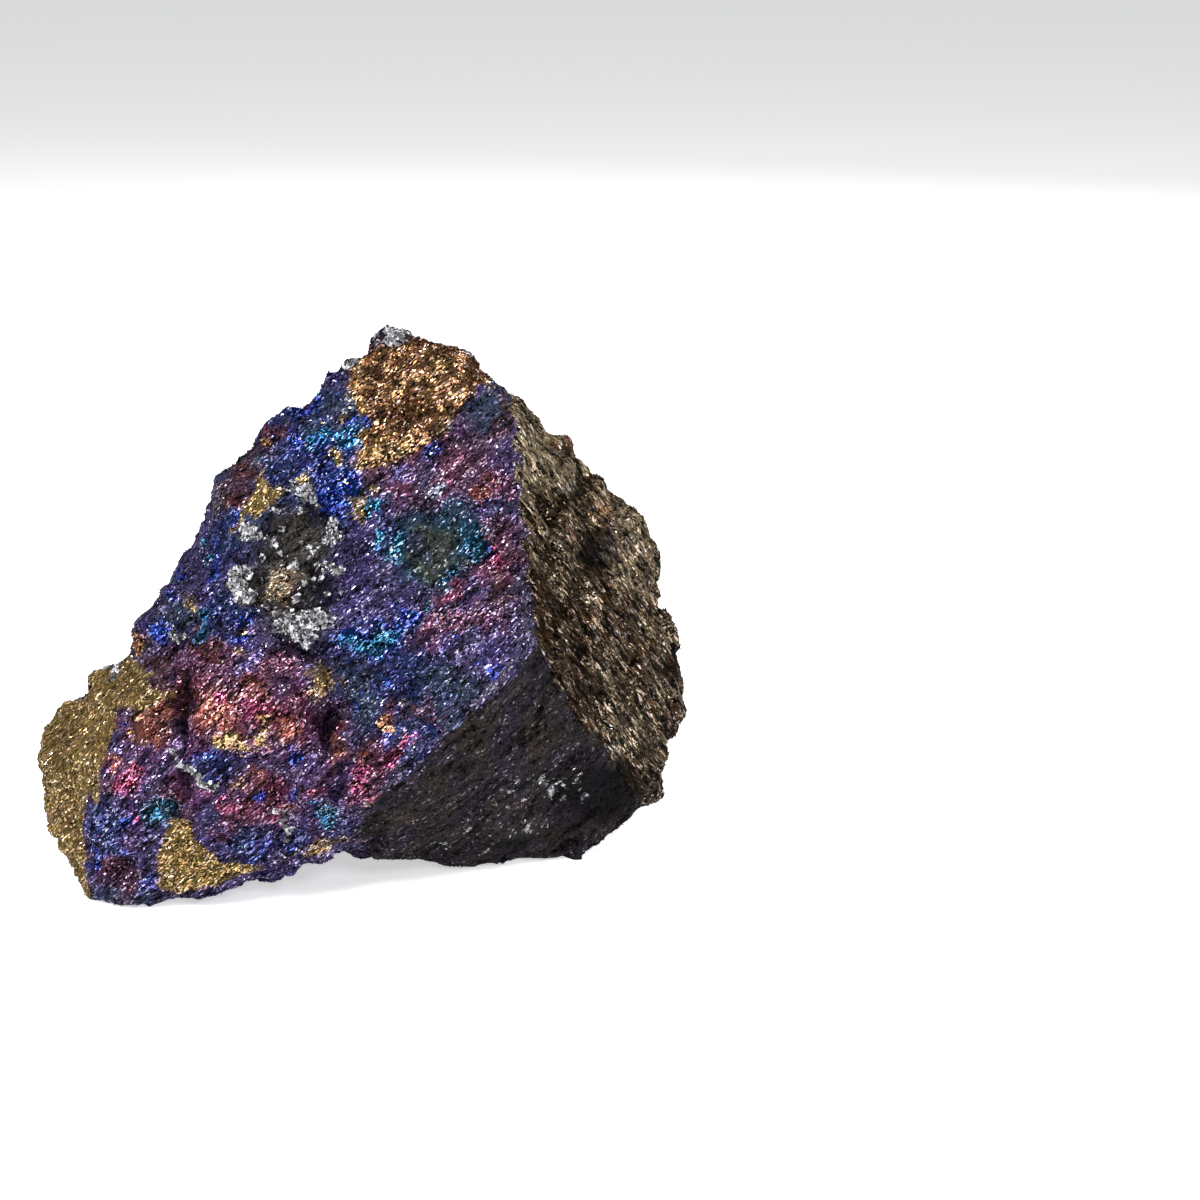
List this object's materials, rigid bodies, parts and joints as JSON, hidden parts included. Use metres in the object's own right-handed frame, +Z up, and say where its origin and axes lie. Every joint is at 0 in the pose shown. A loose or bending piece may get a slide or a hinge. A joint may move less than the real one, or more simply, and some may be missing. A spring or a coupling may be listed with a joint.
{
  "type": "peacock ore",
  "caption": "Angular hand-sized piece of peacock ore with a broad iridescent tarnished face, a brassy shoulder and a quartz pocket, resting on a small flat break.",
  "frame": {"origin": "on the flat break that the stone rests on, under the middle of the stone", "axes": "+Z up from the resting face, -Y towards the broad tarnished face, +X towards the brown layered side"},
  "size_m": [0.0733, 0.0523, 0.0606],
  "materials": {
    "tarnished_ore": "iridescent metallic tarnish on a granular break"
  },
  "bodies": {
    "root": {"peacock_ore": "tarnished_ore"}
  },
  "joints": []
}
